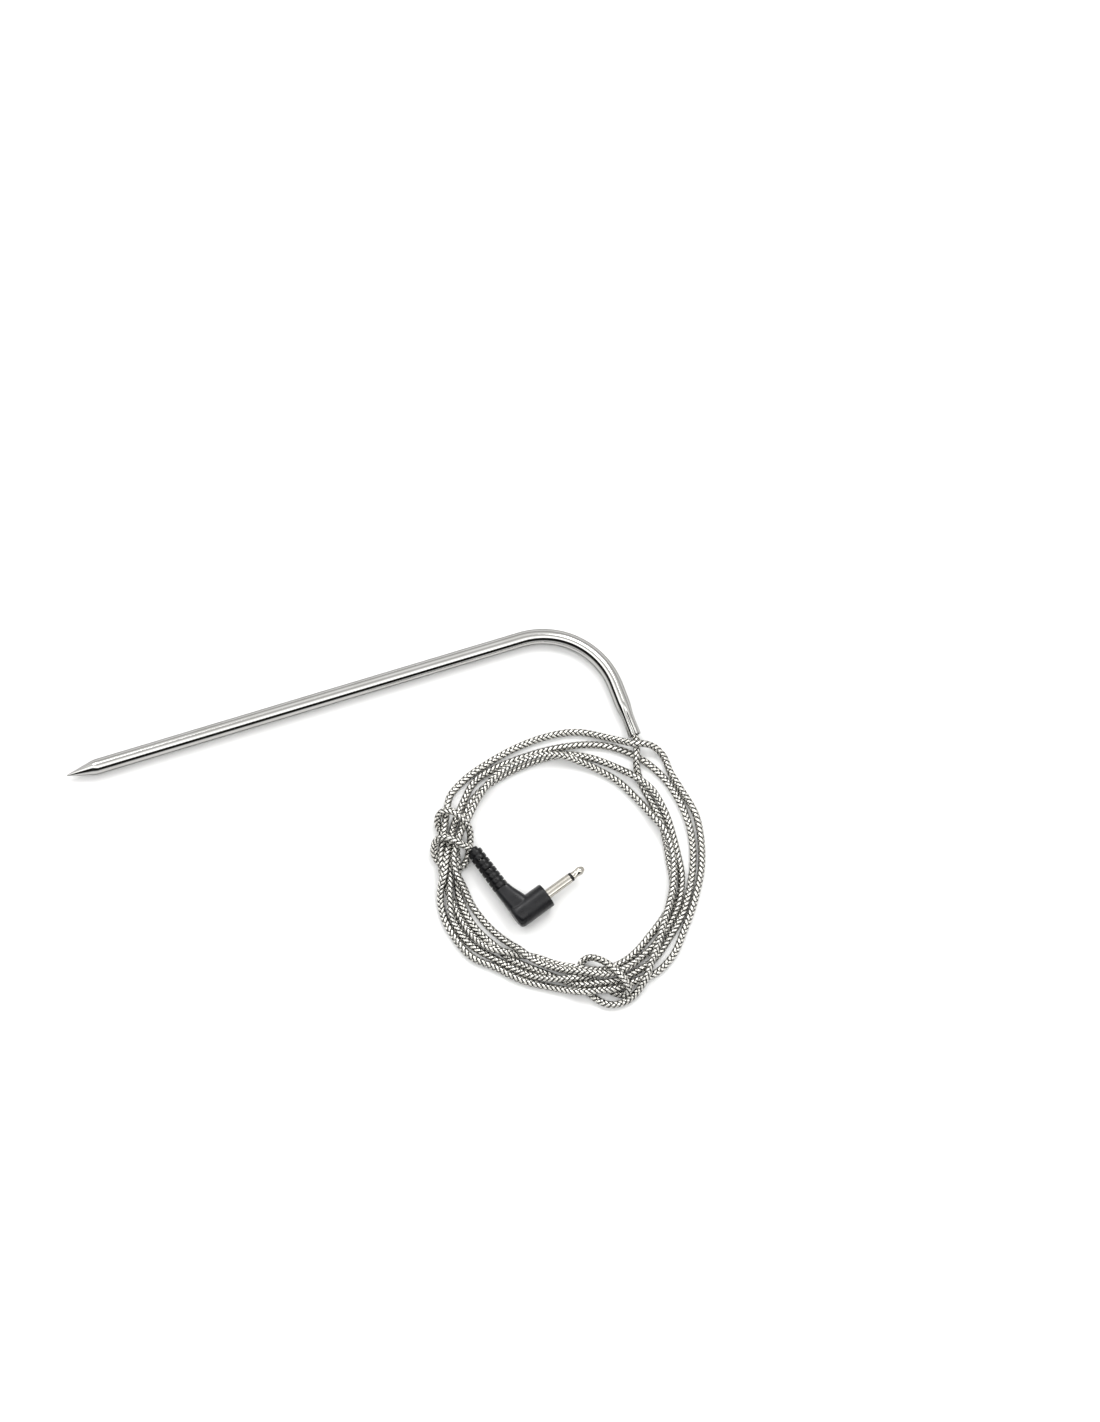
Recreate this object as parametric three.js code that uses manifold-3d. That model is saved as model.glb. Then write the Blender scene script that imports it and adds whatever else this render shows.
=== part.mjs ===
// Wired probe of a leave-in meat thermometer: a bent stainless tube with a pointed tip and a thermistor
// inside it, a braided cable wound into a coil, and a moulded right-angle 2.5 mm mono jack plug.
// Millimetres, +Z up. The probe and its coil lie flat on z = 0 with the long leg along +X and the tip at -X.

import * as THREE from 'three';
import { mergeVertices } from 'three/addons/utils/BufferGeometryUtils.js';
import Module from 'manifold-3d';

const wasm = await Module();
wasm.setup();

// ---- Driving dimensions ----------------------------------------------------------------------

const RAD = Math.PI / 180;
const gap = 0.1;                  // running clearance kept between neighbouring pieces
const meetingGap = 0.3;           // between two lengths of cable, or a cable and what it runs into

// Probe
const tubeRadius = 2;             // 4 mm stainless tube
const tubeWall = 0.4;
const tubeSides = 20;
const legLength = 123;            // point of the tip to the start of the bend
const bendRadius = 20.2;
const bendAngle = 86 * RAD;
const armLength = 14;             // end of the bend to the crimped end
const coneLength = 8;             // pointed part of the tip
const landLength = 1.2;           // full-diameter part of the tip behind the cone
const spigotLength = 4;           // part of the tip that is pressed into the tube
const crimpLength = 9;            // squeezed stretch at the cable end
const crimpWaist = 4.7;           // from the cut end to the tightest place
const crimpDepth = 0.33;          // how far the wall is squeezed in at the waist
const crimpFlare = 0.12;          // how much of that the cut end keeps open
const crimpGrooves = 4;
const crimpGrooveDepth = 0.14;

// Thermistor and its joints, measured along the leg from the point of the tip
const beadRadius = 0.6;
const beadStart = 6.7;
const beadLength = 2;
const pottingEnd = 11.4;
const ferruleStart = 21;
const ferruleLength = 6;
const ferruleRadius = 0.6;
const leadSleeveStart = 16.6;
const pairOffset = 0.66;          // half the distance between the two wires at their joints
const coreRadius = 0.38;
const coreOffset = 0.42;          // half the distance between the cable's two cores

// Cable and coil
const cableRadius = 0.95;
const cableSides = 8;
const crimpedCable = 6.5;         // length of cable held inside the crimp
const coilCentre = [118.1, -59.2];
const coilInner = 26.8;
const coilOuter = 34.6;
const coilHeight = 5;

// Plug, in its own frame: x along the pin from the seating face, y towards the cable
const plugFace = [110.1, -66.4];
const plugTurn = 19.5 * RAD;
const barrelRadius = 3.35;
const barrelLength = 10.5;
const bodyWall = 0.65;
const bootX = -8.5;               // axis of the strain relief
const bootStart = 8.5;
const bootLength = 12;            // its ribs
const bootRootRadius = 2.1;
const bootMouthRadius = 2;
const bootRibs = 8;
const collarLength = 0.7;         // plain collar beyond the ribs, at the cable end
const collarRadius = 1.35;
const bootTail = 2.4;             // part of the strain relief set into the body
const bootTailRadius = 1.5;
const pinRadius = 1.25;
const sleeveEnd = 7.4;
const ringLength = 0.6;
const pinLength = 11.8;
const contactRear = -5.2;         // inner end of the sleeve contact and its insulator
const stemRadius = 0.38;          // of the tip contact's stem through the insulator
const stemBore = 0.48;
const sleeveTerminalX = -4.6;
const tipTerminalX = -6.5;
const terminalHeight = 1.5;       // height of the soldered joints on the terminals' tabs
const solderRadius = 0.36;

// The part's origin is under the middle of the bent probe's bounding box
const origin = [72.9, -15.44, 0];

// ---- Finishes --------------------------------------------------------------------------------

function finish(color, roughness, metalness) {
  return () => new THREE.MeshStandardMaterial({ color, roughness, metalness });
}

const polishedSteel = finish(0xc9c8c5, 0.16, 1);
const braidedSteel = finish(0xa7a39b, 0.35, 1);
const nickel = finish(0xd2cdbf, 0.14, 1);
const brass = finish(0xc2a14e, 0.3, 1);
const tinnedCopper = finish(0xb9b4aa, 0.4, 1);
const solderAlloy = finish(0xb4b6b8, 0.35, 1);
const blackMoulding = finish(0x2b2b2f, 0.5, 0);
const blackInsulator = finish(0x111112, 0.45, 0);
const naturalNylon = finish(0xd8d3c4, 0.55, 0);
const redCore = finish(0xa83226, 0.4, 0);
const whiteCore = finish(0xe6e3da, 0.4, 0);
const glassBead = finish(0x4f6f5c, 0.12, 0);
const ceramicPotting = finish(0xd9d6cf, 0.8, 0);
const glassFibreSleeve = finish(0xcfc9b4, 0.85, 0);

// ---- Shapes ----------------------------------------------------------------------------------

function polygon(radius, sides) {
  const points = [];
  for (let i = 0; i < sides; i++) {
    const a = (i / sides) * 2 * Math.PI;
    points.push(new THREE.Vector2(radius * Math.cos(a), radius * Math.sin(a)));
  }
  return points;
}

// Turned piece on the X axis. profile lists [x, radius] and runs from low x to high x along the outside.
function turned(profile, sides = 16) {
  const points = profile.map(([x, r]) => new THREE.Vector2(r, x));
  return new THREE.LatheGeometry(points, sides).rotateZ(-Math.PI / 2);
}

// Turned tube on the X axis between x0 and x1
function turnedTube(x0, x1, outer, inner, sides = 16) {
  return turned([[x0, inner], [x0, outer], [x1, outer], [x1, inner], [x0, inner]], sides);
}

// A curve that ExtrudeGeometry samples at chosen stations, so straight runs need no extra sections
class StationCurve extends THREE.Curve {
  constructor(pointAt, stations) {
    super();
    this.pointAt = pointAt;
    this.stations = stations;
  }

  getPoint(t, target = new THREE.Vector3()) {
    const last = this.stations.length - 1;
    const i = Math.min(Math.floor(t * last), last - 1);
    const s = THREE.MathUtils.lerp(this.stations[i], this.stations[i + 1], t * last - i);
    return target.copy(this.pointAt(s));
  }

  getUtoTmapping(u) {
    return u;
  }
}

function swept(pointAt, stations, outer, inner, sides) {
  const section = new THREE.Shape(polygon(outer, sides));
  if (inner > 0) {
    section.holes.push(new THREE.Path(polygon(inner, sides)));
  }
  return new THREE.ExtrudeGeometry(section, {
    steps: stations.length - 1,
    extrudePath: new StationCurve(pointAt, stations),
    bevelEnabled: false,
  });
}

// Round wire through a few points, smoothed between them
function wire(points, radius, steps, sides = 8) {
  const curve = new THREE.CatmullRomCurve3(points.map((p) => new THREE.Vector3(...p)));
  const section = new THREE.Shape(polygon(radius, sides));
  return new THREE.ExtrudeGeometry(section, { steps, extrudePath: curve, bevelEnabled: false });
}

function box(x0, x1, y0, y1, z0, z1) {
  const geometry = new THREE.BoxGeometry(x1 - x0, y1 - y0, z1 - z0);
  return geometry.translate((x0 + x1) / 2, (y0 + y1) / 2, (z0 + z1) / 2);
}

// Cylinder along Y
function postY(x, y0, y1, radius, sides = 20) {
  return new THREE.CylinderGeometry(radius, radius, y1 - y0, sides).translate(x, (y0 + y1) / 2, 0);
}

// ---- Booleans --------------------------------------------------------------------------------

function toSolid(geometry) {
  const bare = geometry.clone();
  bare.deleteAttribute('normal');
  bare.deleteAttribute('uv');
  const merged = mergeVertices(bare, 1e-5);
  const corners = merged.index.array;
  const triangles = [];
  for (let i = 0; i < corners.length; i += 3) {
    const [a, b, c] = [corners[i], corners[i + 1], corners[i + 2]];
    if (a !== b && b !== c && c !== a) {
      triangles.push(a, b, c);
    }
  }
  const vertProperties = new Float32Array(merged.attributes.position.array);
  const triVerts = new Uint32Array(triangles);
  return new wasm.Manifold(new wasm.Mesh({ numProp: 3, vertProperties, triVerts }));
}

function toGeometry(solid) {
  const mesh = solid.getMesh();
  const geometry = new THREE.BufferGeometry();
  geometry.setAttribute('position', new THREE.BufferAttribute(new Float32Array(mesh.vertProperties), 3));
  geometry.setIndex(new THREE.BufferAttribute(new Uint32Array(mesh.triVerts), 1));
  geometry.computeVertexNormals();
  return geometry;
}

// ---- The probe's centreline ------------------------------------------------------------------

const bendStart = legLength;
const bendEnd = legLength + bendRadius * bendAngle;
const probeEnd = bendEnd + armLength;
const armDirection = new THREE.Vector3(Math.cos(bendAngle), -Math.sin(bendAngle), 0);
const armStart = new THREE.Vector3(
  legLength + bendRadius * Math.sin(bendAngle),
  -bendRadius * (1 - Math.cos(bendAngle)),
  tubeRadius,
);

// Point at distance s from the tip along the leg, the bend and the arm; lift moves it up or down
function probeLine(s, lift = 0) {
  const z = tubeRadius + lift;
  if (s <= bendStart) {
    return new THREE.Vector3(s, 0, z);
  }
  if (s < bendEnd) {
    const a = (s - bendStart) / bendRadius;
    return new THREE.Vector3(legLength + bendRadius * Math.sin(a), -bendRadius * (1 - Math.cos(a)), z);
  }
  return armStart.clone().addScaledVector(armDirection, s - bendEnd).setZ(z);
}

function bendStations(steps) {
  return Array.from({ length: steps + 1 }, (_, i) => bendStart + ((bendEnd - bendStart) * i) / steps);
}

// ---- Probe pieces ----------------------------------------------------------------------------

const tubeStart = coneLength + landLength + gap;
const tubeBore = tubeRadius - tubeWall;

// How far the crimp presses the wall in at distance s along the arm
function crimpAt(s) {
  const waist = armLength - crimpWaist;
  const squeeze = THREE.MathUtils.smoothstep(s, armLength - crimpLength, waist);
  const flare = THREE.MathUtils.smoothstep(s, waist + 1.2, armLength);
  return { squeeze, depth: squeeze * crimpDepth - flare * crimpFlare };
}

function probeTube() {
  const crimpStations = Array.from({ length: crimpLength + 1 }, (_, i) => probeEnd - crimpLength + i);
  const stations = [tubeStart, ...bendStations(12), ...crimpStations];
  const geometry = swept(probeLine, stations, tubeRadius, tubeBore, tubeSides);
  const position = geometry.attributes.position;
  const point = new THREE.Vector3();
  for (let i = 0; i < position.count; i++) {
    point.fromBufferAttribute(position, i).sub(armStart);
    const along = point.dot(armDirection);
    if (along < armLength - crimpLength) {
      continue;
    }
    const out = point.addScaledVector(armDirection, -along);
    const angle = Math.atan2(out.z, out.x);
    const { squeeze, depth } = crimpAt(along);
    const groove = squeeze * crimpGrooveDepth * Math.max(0, Math.cos(crimpGrooves * angle));
    out.setLength(out.length() - depth - groove);
    out.add(armStart).addScaledVector(armDirection, along);
    position.setXYZ(i, out.x, out.y, out.z);
  }
  geometry.computeVertexNormals();
  return geometry;
}

function probeTip() {
  const shoulder = coneLength + landLength;
  const rear = shoulder + spigotLength;
  const bore = 1.02;
  const spigot = tubeBore - gap;
  return turned([
    [0, 0],
    [0.12, 0.22],
    [coneLength * 0.9, tubeRadius * 0.93],
    [coneLength, tubeRadius],
    [shoulder, tubeRadius],
    [shoulder, spigot],
    [rear, spigot],
    [rear, bore],
    [beadStart - 0.5, bore],
    [beadStart - 1.3, 0],
  ], tubeSides);
}

function thermistorBead() {
  const half = beadLength / 2;
  const profile = [];
  const steps = 8;
  for (let i = 0; i <= steps; i++) {
    const a = Math.PI * (1 - i / steps);
    profile.push([beadStart + half + half * Math.cos(a), i % steps === 0 ? 0 : beadRadius * Math.sin(a)]);
  }
  return turned(profile, 12);
}

function potting() {
  const front = beadStart - 0.4;
  const outer = 0.9;
  const inner = beadRadius + gap;
  return turned([
    [front, 0],
    [front, outer],
    [pottingEnd, outer],
    [pottingEnd, inner],
    [front + 0.2, inner],
    [front + 0.2, 0],
  ]);
}

// One bare wire from the bead to its joint, side is +1 above or -1 below
function thermistorLead(side) {
  const start = beadStart + beadLength + gap;
  const z = tubeRadius;
  return wire([
    [start, 0, z + side * 0.2],
    [pottingEnd - 0.5, 0, z + side * 0.38],
    [pottingEnd + 5, 0, z + side * 0.5],
    [ferruleStart - 1, 0, z + side * pairOffset],
    [ferruleStart + ferruleLength / 2 - gap, 0, z + side * pairOffset],
  ], 0.12, 10, 6);
}

function leadSleeve() {
  const length = ferruleStart - 2 * gap - leadSleeveStart;
  return turnedTube(0, length, 0.34, 0.22, 10);
}

// Sleeve over both ferrules
function spliceSleeve() {
  const overlap = 2;
  return turnedTube(ferruleStart - overlap, ferruleStart + ferruleLength + overlap, 1.5, 1.36, 20);
}

// One insulated core of the cable, from its ferrule round the bend to the cable in the crimp
function core(side) {
  const start = ferruleStart + ferruleLength / 2 + gap;
  const end = probeEnd - crimpedCable - meetingGap;
  const spread = (s) => side * THREE.MathUtils.lerp(
    pairOffset, coreOffset, THREE.MathUtils.smoothstep(s, ferruleStart + ferruleLength, 40));
  const stations = [start, ferruleStart + ferruleLength, 31, 35, 40, ...bendStations(10), end];
  return swept((s) => probeLine(s, spread(s)), stations, coreRadius, 0, cableSides);
}

// ---- Cable pieces ----------------------------------------------------------------------------

// How far a cable can run from start along direction before its edge meets the cylinder of this radius
// round the coil's middle
function reachCoil(start, direction, radius) {
  const edges = [-cableRadius, cableRadius].map((side) => {
    const x = start.x - side * direction.y - coilCentre[0];
    const y = start.y + side * direction.x - coilCentre[1];
    const b = x * direction.x + y * direction.y;
    const c = x * x + y * y - radius * radius;
    const root = Math.sqrt(b * b - c);
    return c > 0 ? -b - root : -b + root;
  });
  return Math.min(...edges) - meetingGap;
}

function cableLead() {
  const mouth = probeLine(probeEnd);
  const reach = reachCoil(mouth, armDirection, coilOuter);
  const stations = [-crimpedCable, 0, reach];
  const pointAt = (s) => mouth.clone().addScaledVector(armDirection, s);
  return swept(pointAt, stations, cableRadius, 0, cableSides);
}

function cableCoil() {
  const mid = (coilInner + coilOuter) / 2;
  const half = (coilOuter - coilInner) / 2;
  const flat = half - 1.4;
  const shoulder = 0.8;
  const profile = [
    [mid - flat, 0], [mid + flat, 0], [coilOuter - 0.3, shoulder], [coilOuter, 1.9],
    [coilOuter, coilHeight - 1.9], [coilOuter - 0.3, coilHeight - shoulder], [mid + flat, coilHeight],
    [mid - flat, coilHeight], [coilInner + 0.3, coilHeight - shoulder], [coilInner, coilHeight - 1.9],
    [coilInner, 1.9], [coilInner + 0.3, shoulder], [mid - flat, 0],
  ];
  const points = profile.map(([r, z]) => new THREE.Vector2(r, z));
  return new THREE.LatheGeometry(points, 48).rotateX(Math.PI / 2);
}

// ---- Plug pieces, in the plug's own frame ----------------------------------------------------

const cavityRadius = barrelRadius - bodyWall;
const cavityRear = -barrelLength + bodyWall;
const stripPoint = 3.3;           // where the cable's braid ends inside the plug
const cableClearance = 0.15;

// The flat-sided arm between the barrel and the strain relief, rounded along its edges
function plugArm() {
  const bevel = 1;
  const thickness = 4.6;
  const shelf = 0.05;             // how much wider the arm is than the strain relief's first ring
  const rim = 0.2;                // how far the first ring stands off the arm's end
  const left = -barrelLength + bevel;
  const right = bootX + bootRootRadius + shelf - bevel;
  const top = bootStart - rim - bevel;
  const slantX = -4.6 - bevel;
  const slantY = 3.4 - bevel;
  const outline = new THREE.Shape();
  outline.moveTo(left, 0);
  outline.lineTo(slantX, 0);
  outline.lineTo(slantX, slantY);
  outline.lineTo(right, top);
  outline.lineTo(left, top);
  outline.closePath();
  const geometry = new THREE.ExtrudeGeometry(outline, {
    depth: thickness - 2 * bevel,
    bevelEnabled: true,
    bevelThickness: bevel,
    bevelSize: bevel,
    bevelSegments: 3,
  });
  return geometry.translate(0, 0, bevel - thickness / 2);
}

function plugBarrel() {
  const rounding = 1.6;
  const steps = 4;
  const profile = [[-barrelLength, 0]];
  for (let i = 0; i <= steps; i++) {
    const a = (i / steps) * 90 * RAD;
    const radius = barrelRadius - rounding * (1 - Math.sin(a));
    profile.push([-barrelLength + rounding * (1 - Math.cos(a)), radius]);
  }
  profile.push([0, barrelRadius], [0, 0]);
  return turned(profile, 28);
}

function plugBody() {
  const cavity = toSolid(turned([
    [cavityRear, 0], [cavityRear, cavityRadius], [-bodyWall, cavityRadius], [-bodyWall, 0],
  ], 24));
  const pinHole = toSolid(turned([[-1, 0], [-1, pinRadius + gap], [1, pinRadius + gap], [1, 0]], 20));
  const cableBore = toSolid(postY(bootX, 1, bootStart + 1, cableRadius + cableClearance, 16));
  const socketRadius = bootTailRadius + gap;
  const socket = toSolid(postY(bootX, bootStart - bootTail - 2 * gap, bootStart + 1, socketRadius, 16));
  return toGeometry(
    toSolid(plugBarrel()).add(toSolid(plugArm())).subtract(cavity).subtract(pinHole)
      .subtract(cableBore).subtract(socket),
  );
}

// Ribbed sleeve round the cable: rings joined by a thin core, with windows through every groove
function strainRelief() {
  const pitch = bootLength / bootRibs;
  const ring = 0.62 * pitch;
  const core = 1.4;
  const edge = 0.12;
  const bore = cableRadius + cableClearance;
  const root = bootStart - bootTail;
  const profile = [[root, bore], [root, bootTailRadius], [bootStart, bootTailRadius]];
  for (let i = 0; i < bootRibs; i++) {
    const y = bootStart + i * pitch;
    const radius = THREE.MathUtils.lerp(bootRootRadius, bootMouthRadius, i / (bootRibs - 1));
    profile.push([y, radius - edge], [y + edge, radius], [y + ring - edge, radius]);
    profile.push([y + ring, radius - edge]);
    if (i < bootRibs - 1) {
      profile.push([y + ring, core], [y + pitch, core]);
    }
  }
  const lastRing = bootStart + (bootRibs - 1) * pitch + ring;
  const mouth = bootStart + bootLength + collarLength;
  profile.push([lastRing, collarRadius], [mouth, collarRadius], [mouth, bore], [root, bore]);
  let relief = toSolid(turned(profile, 20));
  const half = 0.8;               // half the width of a window
  const through = 3;              // beyond the ring on both sides
  for (let i = 2; i < bootRibs - 1; i++) {
    const y0 = bootStart + i * pitch + ring + 0.02;
    const y1 = bootStart + (i + 1) * pitch - 0.02;
    const [a, b] = i % 2 ? [half, through] : [through, half];
    const window = box(y0, y1, -a, a, -b, b);
    relief = relief.subtract(toSolid(window));
  }
  return toGeometry(relief).rotateZ(Math.PI / 2).translate(bootX, 0, 0);
}

// Hollow inner moulding that holds the contacts while the outer body is moulded round them
function premould() {
  const wall = 0.35;
  const slotHalf = 1.15;
  const outer = cavityRadius - gap;
  const inner = outer - wall;
  const rear = cavityRear + gap;
  const front = -bodyWall - gap;
  const hollowRear = rear + wall - 0.05;
  const hollowFront = front - wall;
  const hole = pinRadius + gap;
  const shell = toSolid(turned([[rear, 0], [rear, outer], [front, outer], [front, 0]], 20));
  const hollow = toSolid(turned([
    [hollowRear, 0], [hollowRear, inner], [hollowFront, inner], [hollowFront, 0],
  ], 20));
  const pinHole = toSolid(turned([[-3, 0], [-3, hole], [0, hole], [0, 0]], 20));
  const cableSlot = toSolid(box(bootX - cableRadius, bootX + 1, 0.5, 4, -slotHalf, slotHalf));
  return toGeometry(shell.subtract(hollow).subtract(pinHole).subtract(cableSlot));
}

// Hollow pin with a flange that the moulding grips
function jackSleeve() {
  const bore = 0.78;
  const chamfer = 0.1;
  const flangeRadius = 1.95;
  const flangeRear = -2.4;
  const flangeFront = -1.5;
  return turned([
    [contactRear, bore],
    [contactRear, pinRadius],
    [flangeRear, pinRadius],
    [flangeRear, flangeRadius],
    [flangeFront, flangeRadius],
    [flangeFront, pinRadius],
    [sleeveEnd - chamfer, pinRadius],
    [sleeveEnd, pinRadius - chamfer],
    [sleeveEnd, bore],
    [contactRear, bore],
  ], 24);
}

// Thin liner inside the sleeve that ends in the ring between the sleeve and the tip
function jackInsulator() {
  const liner = 0.68;
  const ringRadius = pinRadius - 0.02;
  const ringStart = sleeveEnd + 0.05;
  const ringEnd = ringStart + ringLength;
  return turned([
    [contactRear, stemBore],
    [contactRear, liner],
    [ringStart, liner],
    [ringStart, ringRadius],
    [ringEnd, ringRadius],
    [ringEnd, stemBore],
    [contactRear, stemBore],
  ], 24);
}

// Tip of the pin: a neck, a head and a rounded nose, on a long stem
function jackTip() {
  const start = sleeveEnd + ringLength + gap;
  const rear = -7.2;
  const neck = 0.95;
  const head = 1.12;
  return turned([
    [rear, 0],
    [rear, stemRadius],
    [start, stemRadius],
    [start, neck],
    [start + 1.5, neck],
    [start + 2.3, head],
    [start + 2.7, head],
    [pinLength - 0.35, 0.72],
    [pinLength - 0.08, 0.36],
    [pinLength, 0],
  ], 24);
}

// Washer that keeps the two terminals apart
function rearWasher() {
  const thickness = 0.65;
  const rear = contactRear - gap - thickness;
  return turnedTube(rear, contactRear - gap, 1.05, stemBore, 16);
}

// Flat solder tab with an eye round the contact, reaching towards the cable
function terminal(x, eye, hub) {
  const thickness = 0.3;
  const tabHalf = 0.5;
  const tabEnd = 1.9;
  const corner = Math.acos(tabHalf / hub);
  const shape = new THREE.Shape();
  shape.absarc(0, 0, hub, corner, Math.PI - corner, true);
  shape.lineTo(-tabHalf, tabEnd);
  shape.lineTo(tabHalf, tabEnd);
  shape.holes.push(new THREE.Path(polygon(eye, 16)));
  const options = { depth: thickness, bevelEnabled: false, curveSegments: 16 };
  const geometry = new THREE.ExtrudeGeometry(shape, options);
  // The outline's x becomes -Z, its y stays Y and its thickness runs along +X
  return geometry.rotateY(Math.PI / 2).translate(x, 0, 0);
}

// Blob of solder on the rear face of a terminal's tab
function solderJoint(terminalX) {
  const blob = new THREE.SphereGeometry(solderRadius, 10, 6);
  return blob.translate(terminalX - gap - solderRadius, terminalHeight, 0);
}

// Cores of the cable inside the plug, from the stripped end of the cable to their terminals
function plugCore(points) {
  return wire(points, 0.3, 8, 8);
}

const sleeveCorePath = [
  [-8.2, 3.15, 0.45],
  [-8.2, 2, 0.9],
  [-7.4, terminalHeight, 1.2],
  [-6.2, terminalHeight, 0.9],
  [-5.6, terminalHeight, 0.2],
];
const tipCorePath = [
  [-8.8, 3.15, -0.45],
  [-8.8, 2.2, -0.4],
  [-8.3, 1.6, -0.1],
  [-7.45, terminalHeight, 0],
];

function cableTail(plug) {
  const mouth = new THREE.Vector3(bootX, bootStart + bootLength + collarLength, barrelRadius);
  const start = plug.localToWorld(mouth.clone());
  const direction = new THREE.Vector3(-Math.sin(plugTurn), Math.cos(plugTurn), 0);
  const reach = reachCoil(start, direction, coilInner);
  return postY(bootX, stripPoint, mouth.y + reach, cableRadius, cableSides);
}

// ---- Assembly --------------------------------------------------------------------------------

function part(name, geometry, makeFinish) {
  const mesh = new THREE.Mesh(geometry, makeFinish());
  mesh.name = name;
  return mesh;
}

// Pieces turned on the X axis sit on the tube's axis, one tube radius above the ground
const onAxis = new THREE.Group();
onAxis.position.z = tubeRadius;
onAxis.add(
  part('probe_tip', probeTip(), polishedSteel),
  part('thermistor_bead', thermistorBead(), glassBead),
  part('thermistor_potting', potting(), ceramicPotting),
  part('splice_sleeve', spliceSleeve(), glassFibreSleeve),
);

const probe = new THREE.Group();
probe.add(part('probe_tube', probeTube(), polishedSteel), onAxis);
for (const [letter, side, coreFinish] of [['a', 1, redCore], ['b', -1, whiteCore]]) {
  const sleeve = part(`lead_sleeve_${letter}`, leadSleeve(), glassFibreSleeve);
  sleeve.position.set(leadSleeveStart, 0, tubeRadius + side * pairOffset);
  const ferrule = part(
    `splice_ferrule_${letter}`, turnedTube(0, ferruleLength, ferruleRadius, 0.46, 12), tinnedCopper);
  ferrule.position.set(ferruleStart, 0, tubeRadius + side * pairOffset);
  probe.add(
    part(`thermistor_lead_${letter}`, thermistorLead(side), tinnedCopper),
    sleeve,
    ferrule,
    part(`core_${letter}`, core(side), coreFinish),
  );
}

const coil = part('cable_coil', cableCoil(), braidedSteel);
coil.position.set(coilCentre[0], coilCentre[1], 0);

const plug = new THREE.Group();
plug.position.set(plugFace[0], plugFace[1], barrelRadius);
plug.rotation.z = plugTurn;
plug.updateMatrixWorld();
plug.add(
  part('plug_body', plugBody(), blackMoulding),
  part('strain_relief', strainRelief(), blackMoulding),
  part('plug_premould', premould(), naturalNylon),
  part('jack_sleeve', jackSleeve(), nickel),
  part('jack_insulator', jackInsulator(), blackInsulator),
  part('jack_tip', jackTip(), nickel),
  part('jack_washer', rearWasher(), blackInsulator),
  part('sleeve_terminal', terminal(sleeveTerminalX, pinRadius + gap, 1.75), brass),
  part('tip_terminal', terminal(tipTerminalX, stemBore, 1.1), brass),
  part('solder_joint_a', solderJoint(sleeveTerminalX), solderAlloy),
  part('solder_joint_b', solderJoint(tipTerminalX), solderAlloy),
  part('plug_core_a', plugCore(sleeveCorePath), redCore),
  part('plug_core_b', plugCore(tipCorePath), whiteCore),
  part('cable_tail', cableTail(plug), braidedSteel),
);

const group = new THREE.Group();
const lying = new THREE.Group();
lying.position.set(-origin[0], -origin[1], -origin[2]);
lying.add(probe, part('cable_lead', cableLead(), braidedSteel), coil, plug);
group.add(lying);

export default group;
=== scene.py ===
import math

import bmesh
import bpy
import numpy as np
from mathutils import Matrix, Vector


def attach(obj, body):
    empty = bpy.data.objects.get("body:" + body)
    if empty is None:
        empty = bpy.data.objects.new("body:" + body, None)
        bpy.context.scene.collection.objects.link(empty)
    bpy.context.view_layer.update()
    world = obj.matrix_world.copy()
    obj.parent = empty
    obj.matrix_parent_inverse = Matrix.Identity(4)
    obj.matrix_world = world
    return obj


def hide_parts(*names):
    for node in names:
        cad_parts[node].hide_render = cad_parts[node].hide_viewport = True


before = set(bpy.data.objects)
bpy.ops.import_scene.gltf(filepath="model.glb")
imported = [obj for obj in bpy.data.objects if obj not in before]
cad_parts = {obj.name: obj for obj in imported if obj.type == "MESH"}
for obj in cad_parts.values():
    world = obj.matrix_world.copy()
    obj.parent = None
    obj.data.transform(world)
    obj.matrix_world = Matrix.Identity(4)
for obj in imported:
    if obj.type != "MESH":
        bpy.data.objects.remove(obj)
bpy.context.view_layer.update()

MM = 0.001
BODY = "root"

# ---- Dimensions repeated from the part, in millimetres unless named otherwise -----------------

TUBE_RADIUS = 2.0
TUBE_WALL = 0.4
LEG_LENGTH = 123.0
BEND_RADIUS = 20.2
BEND_ANGLE = math.radians(86)
ARM_LENGTH = 14.0
CRIMPED_CABLE = 6.5                            # length of cable inside the tube's end
CABLE_RADIUS = 0.95
ORIGIN = Vector((72.9, -15.44, 0))             # the frame's origin, measured from the probe's tip

BEND_END = LEG_LENGTH + BEND_RADIUS * BEND_ANGLE       # along the tube's axis, from the tip
PROBE_END = BEND_END + ARM_LENGTH

PLUG_FACE = Vector((110.1, -66.4, 0)) - ORIGIN
PLUG_TURN = math.radians(19.5)
BARREL_RADIUS = 3.35
BOOT_X = -8.5                                  # place of the boot's axis in the plug's own frame
BOOT_START = 8.5
BOOT_LENGTH = 12.0
COLLAR_LENGTH = 0.7
STRIP_POINT = 3.3                              # where the braid ends inside the plug
COIL_CENTRE = Vector((118.1, -59.2, 0)) - ORIGIN

# ---- Camera ------------------------------------------------------------------------------------

VIEW_ELEVATION = math.radians(80)
VIEW_TARGET = Vector((52.04, -4.81, 2.0)) * MM
IMAGE_UP = Vector((0.2914, 0.9566, 0.0))       # on the ground
FRAME_HEIGHT = 369.7 * MM                      # what the picture's long side takes in
LENS = 200.0
SENSOR = 36.0


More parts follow.
